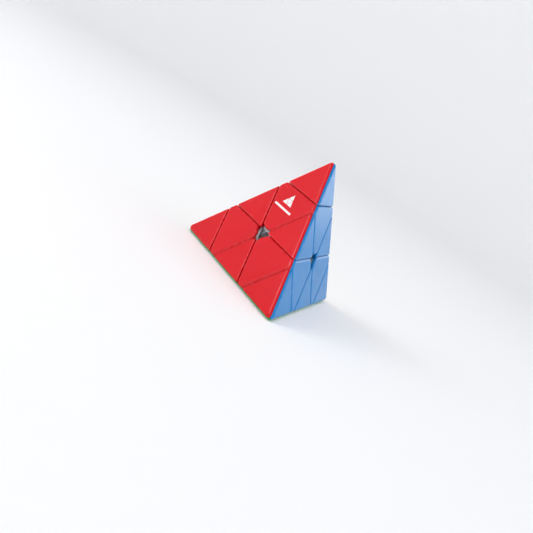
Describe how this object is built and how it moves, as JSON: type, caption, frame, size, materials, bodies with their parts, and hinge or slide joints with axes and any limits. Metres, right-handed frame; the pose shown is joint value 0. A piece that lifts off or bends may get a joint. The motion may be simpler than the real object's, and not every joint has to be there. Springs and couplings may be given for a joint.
{
  "type": "pyramid twisty puzzle",
  "caption": "Tetrahedral twisty puzzle with solid-colour plastic faces, turning corner tips, a turning layer and a screw-and-spring core.",
  "frame": {"origin": "the puzzle's centre, where its four turn axes cross", "axes": "+Z through the top corner, along that corner's turn axis; the puzzle rests on the green face, whose outward normal is -Z; the red face looks towards -Y"},
  "size_m": [0.097, 0.0846, 0.08],
  "materials": {
    "red_plastic": "satin",
    "blue_plastic": "satin",
    "yellow_plastic": "satin",
    "green_plastic": "satin",
    "internal_plastic": "matte",
    "steel": "plated"
  },
  "bodies": {
    "fixed_layers": {"core_spider": "internal_plastic", "screw_top": "steel", "spring_top": "steel", "screw_back": "steel", "spring_back": "steel", "screw_left": "steel", "spring_left": "steel", "screw_right": "steel", "spring_right": "steel", "center_back_base": "internal_plastic", "center_back_green": "green_plastic", "center_back_blue": "blue_plastic", "center_back_yellow": "yellow_plastic", "center_left_base": "internal_plastic", "center_left_green": "green_plastic", "center_left_red": "red_plastic", "center_left_yellow": "yellow_plastic", "center_right_base": "internal_plastic", "center_right_green": "green_plastic", "center_right_red": "red_plastic", "center_right_blue": "blue_plastic", "edge_back_left_foot": "internal_plastic", "edge_back_left_green": "green_plastic", "edge_back_left_yellow": "yellow_plastic", "edge_back_right_foot": "internal_plastic", "edge_back_right_green": "green_plastic", "edge_back_right_blue": "blue_plastic", "edge_left_right_foot": "internal_plastic", "edge_left_right_green": "green_plastic", "edge_left_right_red": "red_plastic"},
    "top_layer": {"center_top_base": "internal_plastic", "center_top_red": "red_plastic", "center_top_blue": "blue_plastic", "center_top_yellow": "yellow_plastic", "edge_top_back_foot": "internal_plastic", "edge_top_back_blue": "blue_plastic", "edge_top_back_yellow": "yellow_plastic", "edge_top_left_foot": "internal_plastic", "edge_top_left_red": "red_plastic", "edge_top_left_yellow": "yellow_plastic", "edge_top_right_foot": "internal_plastic", "edge_top_right_red": "red_plastic", "edge_top_right_blue": "blue_plastic"},
    "top_tip": {"tip_top_base": "internal_plastic", "tip_top_red": "red_plastic", "tip_top_blue": "blue_plastic", "tip_top_yellow": "yellow_plastic"},
    "back_tip": {"tip_back_base": "internal_plastic", "tip_back_green": "green_plastic", "tip_back_blue": "blue_plastic", "tip_back_yellow": "yellow_plastic"},
    "left_tip": {"tip_left_base": "internal_plastic", "tip_left_green": "green_plastic", "tip_left_red": "red_plastic", "tip_left_yellow": "yellow_plastic"},
    "right_tip": {"tip_right_base": "internal_plastic", "tip_right_green": "green_plastic", "tip_right_red": "red_plastic", "tip_right_blue": "blue_plastic"}
  },
  "joints": [
    {"name": "top_layer_turn", "type": "hinge", "parent": "fixed_layers", "child": "top_layer", "pos_m": [0, 0, 0], "axis": [0, 0, 1], "continuous": true},
    {"name": "top_tip_turn", "type": "hinge", "parent": "top_layer", "child": "top_tip", "pos_m": [0, 0, 0], "axis": [0, 0, 1], "continuous": true},
    {"name": "back_tip_turn", "type": "hinge", "parent": "fixed_layers", "child": "back_tip", "pos_m": [0, 0, 0], "axis": [0, 0.9428, -0.3333], "continuous": true},
    {"name": "left_tip_turn", "type": "hinge", "parent": "fixed_layers", "child": "left_tip", "pos_m": [0, 0, 0], "axis": [-0.8165, -0.4714, -0.3333], "continuous": true},
    {"name": "right_tip_turn", "type": "hinge", "parent": "fixed_layers", "child": "right_tip", "pos_m": [0, 0, 0], "axis": [0.8165, -0.4714, -0.3333], "continuous": true}
  ]
}
